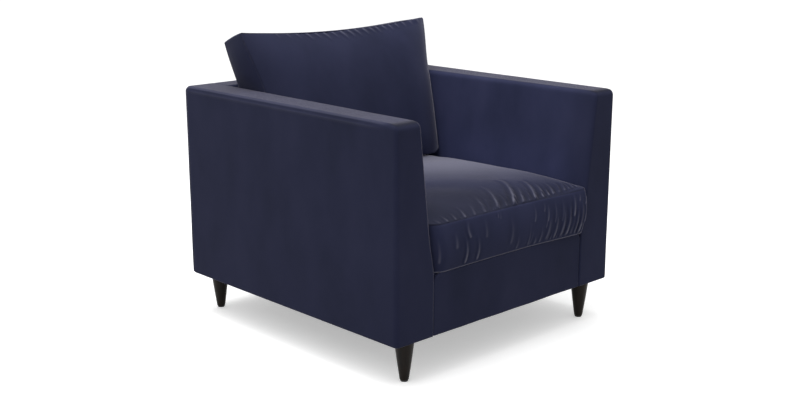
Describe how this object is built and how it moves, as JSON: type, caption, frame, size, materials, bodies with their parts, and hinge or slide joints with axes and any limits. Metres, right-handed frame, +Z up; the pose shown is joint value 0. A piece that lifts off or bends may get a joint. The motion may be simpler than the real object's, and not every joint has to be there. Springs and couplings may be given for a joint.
{
  "type": "upholstered armchair",
  "caption": "Low square armchair with flat arms level with the back, a boxed seat cushion, a loose leaning back cushion and short tapered legs.",
  "frame": {"origin": "on the floor, under the middle of the chair's width and depth", "axes": "+Z up, the chair's front faces -Y, +X is to the right as seen by someone looking at the front"},
  "size_m": [0.9, 0.94, 0.8865],
  "materials": {
    "velvet": "matte",
    "foam": "matte",
    "deck_cloth": "matte",
    "dust_cloth": "matte",
    "webbing": "matte",
    "frame_timber": "matte",
    "leg_wood": "satin",
    "spring_steel": "satin",
    "clip_steel": "satin",
    "bolt_steel": "satin",
    "zip_metal": "satin",
    "glide_plastic": "matte"
  },
  "bodies": {
    "chair_body": {"front_rail": "frame_timber", "rear_rail": "frame_timber", "back_top_rail": "frame_timber", "back_tack_rail": "frame_timber", "arm_front_post_left": "frame_timber", "back_post_left": "frame_timber", "side_rail_left": "frame_timber", "arm_top_rail_left": "frame_timber", "arm_tack_rail_left": "frame_timber", "arm_front_post_right": "frame_timber", "back_post_right": "frame_timber", "side_rail_right": "frame_timber", "arm_top_rail_right": "frame_timber", "arm_tack_rail_right": "frame_timber", "corner_block_front_left": "frame_timber", "corner_block_rear_left": "frame_timber", "corner_block_front_right": "frame_timber", "corner_block_rear_right": "frame_timber", "seat_spring_1": "spring_steel", "seat_spring_2": "spring_steel", "seat_spring_3": "spring_steel", "seat_spring_4": "spring_steel", "spring_clip_front_1": "clip_steel", "spring_clip_rear_1": "clip_steel", "spring_clip_front_2": "clip_steel", "spring_clip_rear_2": "clip_steel", "spring_clip_front_3": "clip_steel", "spring_clip_rear_3": "clip_steel", "spring_clip_front_4": "clip_steel", "spring_clip_rear_4": "clip_steel", "back_strap_1": "webbing", "back_strap_2": "webbing", "seat_deck": "deck_cloth", "arm_foam_left": "foam", "arm_foam_right": "foam", "back_foam": "foam", "arm_cover_left": "velvet", "arm_cover_right": "velvet", "back_cover": "velvet", "outside_back": "velvet", "front_border": "velvet", "dust_cover": "dust_cloth", "leg_front_left": "leg_wood", "leg_rear_left": "leg_wood", "leg_front_right": "leg_wood", "leg_rear_right": "leg_wood", "leg_bolt_front_left": "bolt_steel", "leg_bolt_rear_left": "bolt_steel", "leg_bolt_front_right": "bolt_steel", "leg_bolt_rear_right": "bolt_steel", "glide_front_left": "glide_plastic", "glide_rear_left": "glide_plastic", "glide_front_right": "glide_plastic", "glide_rear_right": "glide_plastic"},
    "seat_cushion": {"seat_cushion_cover": "velvet", "seat_cushion_core": "foam"},
    "back_cushion": {"back_cushion_cover": "velvet", "back_cushion_core": "foam"},
    "seat_zip": {"seat_zip_slider": "zip_metal"},
    "back_zip": {"back_zip_slider": "zip_metal"}
  },
  "joints": [
    {"name": "seat_cushion_pull_out", "type": "slide", "parent": "chair_body", "child": "seat_cushion", "axis": [0, -1, 0], "range_m": [0, 0.82]},
    {"name": "back_cushion_lift_out", "type": "slide", "parent": "chair_body", "child": "back_cushion", "axis": [0, 0, 1], "range_m": [0, 0.3]},
    {"name": "seat_zip_slide", "type": "slide", "parent": "seat_cushion", "child": "seat_zip", "axis": [-1, 0, 0], "range_m": [0, 0.5]},
    {"name": "back_zip_slide", "type": "slide", "parent": "back_cushion", "child": "back_zip", "axis": [-1, 0, 0], "range_m": [0, 0.5]}
  ]
}
